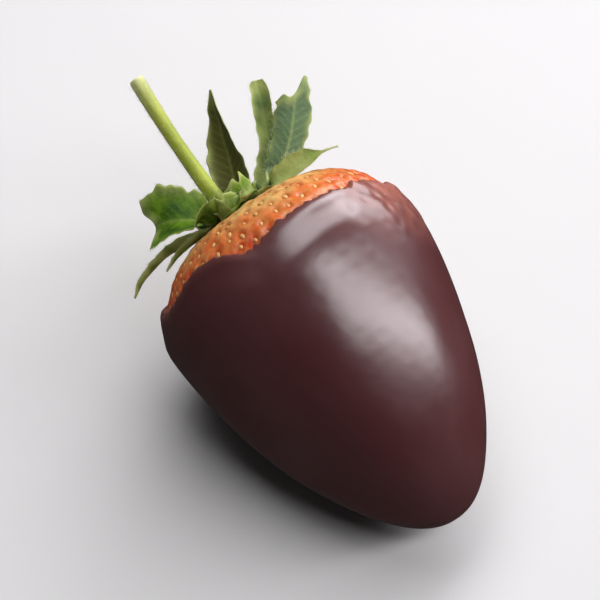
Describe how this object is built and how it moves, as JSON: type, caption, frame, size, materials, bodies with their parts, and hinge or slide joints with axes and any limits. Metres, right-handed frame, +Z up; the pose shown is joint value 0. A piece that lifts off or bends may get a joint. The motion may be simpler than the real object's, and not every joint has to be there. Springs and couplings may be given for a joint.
{
  "type": "chocolate coated strawberry",
  "caption": "Tapering fresh berry dipped in dark chocolate up to a ragged line below its leafy green cap and cut stem, lying on its flank on a small flat spot.",
  "frame": {"origin": "on the floor under the middle of the whole part's box", "axes": "+X along the lying berry from the stem to the tip, +Y across it, +Z up"},
  "size_m": [0.0748, 0.0408, 0.0423],
  "materials": {
    "dark_chocolate": "set dark chocolate with a soft satin sheen",
    "berry_flesh": "moist ripe berry skin, red with a pale orange shoulder and sunken seeds",
    "leaf_green": "fresh hairy leaf, paler below and along the edges",
    "stem_green": "smooth yellow-green stalk, paler at the cut end"
  },
  "bodies": {
    "root": {"chocolate_coat": "dark_chocolate", "strawberry": "berry_flesh", "calyx_disc": "leaf_green", "sepal_1": "leaf_green", "sepal_2": "leaf_green", "sepal_3": "leaf_green", "sepal_4": "leaf_green", "sepal_5": "leaf_green", "bractlet_1": "leaf_green", "bractlet_2": "leaf_green", "bractlet_3": "leaf_green", "bractlet_4": "leaf_green", "bractlet_5": "leaf_green", "stem": "stem_green"}
  },
  "joints": []
}
